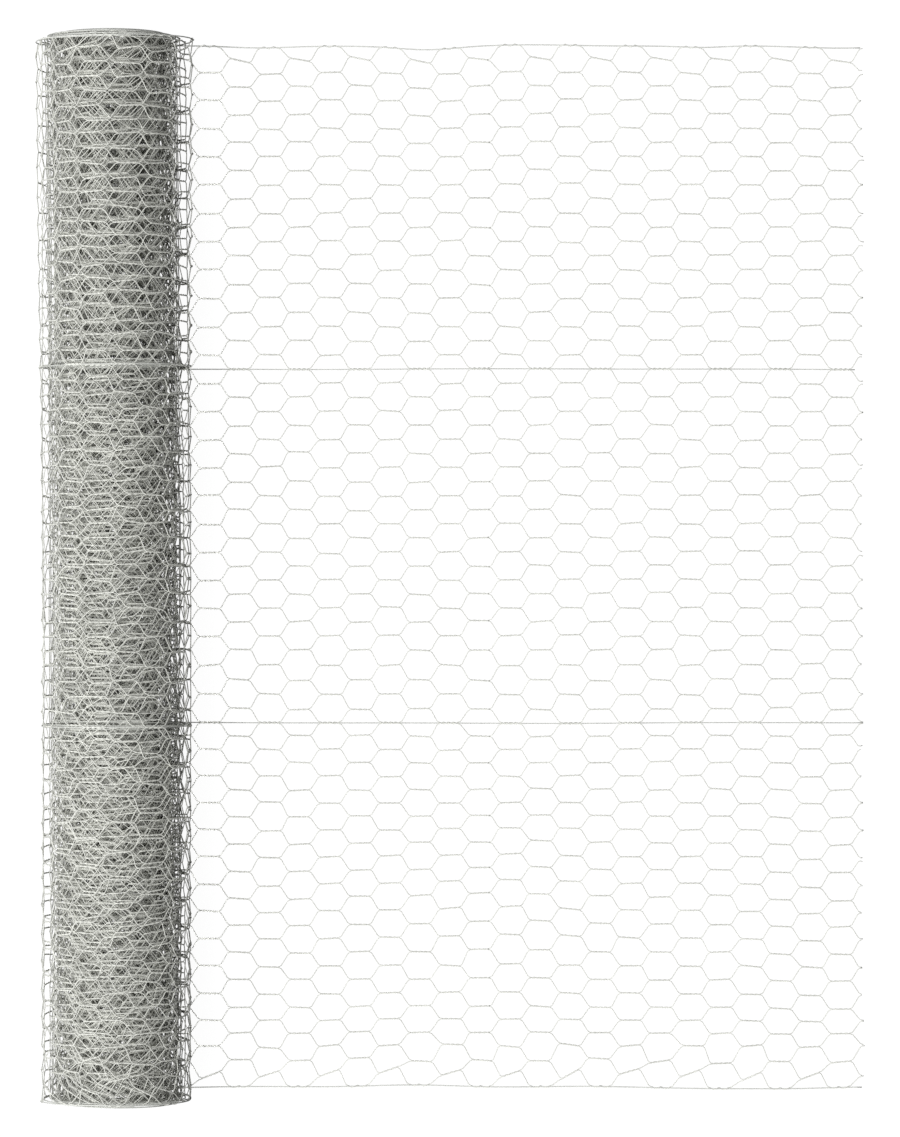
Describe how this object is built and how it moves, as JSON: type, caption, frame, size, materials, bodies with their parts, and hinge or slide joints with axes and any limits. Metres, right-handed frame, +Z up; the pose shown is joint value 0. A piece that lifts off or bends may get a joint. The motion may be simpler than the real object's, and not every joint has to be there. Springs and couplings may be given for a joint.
{
  "type": "roll of chicken wire",
  "caption": "Roll of hexagonal galvanised wire netting, lying on its side with a loose last turn and its free end drawn out flat.",
  "frame": {"origin": "on the floor, at the middle of the footprint of the roll and its flat free end together", "axes": "+Y runs along the roll, +X runs from the roll to the cut free end, +Z is up"},
  "size_m": [0.7046, 0.9, 0.1151],
  "materials": {
    "galvanised_wire": "hot-dip galvanised, satin with a slight bloom",
    "straight_wire": "hot-dip galvanised, satin"
  },
  "bodies": {
    "root": {"rolled_core": "galvanised_wire", "loose_turn": "galvanised_wire", "flat_net_1": "galvanised_wire", "flat_net_2": "galvanised_wire", "flat_net_3": "galvanised_wire", "flat_net_4": "galvanised_wire", "flat_net_5": "galvanised_wire", "flat_net_6": "galvanised_wire", "edge_wire_near": "straight_wire", "edge_wire_far": "straight_wire", "line_wire_near": "straight_wire", "line_wire_far": "straight_wire"}
  },
  "joints": []
}
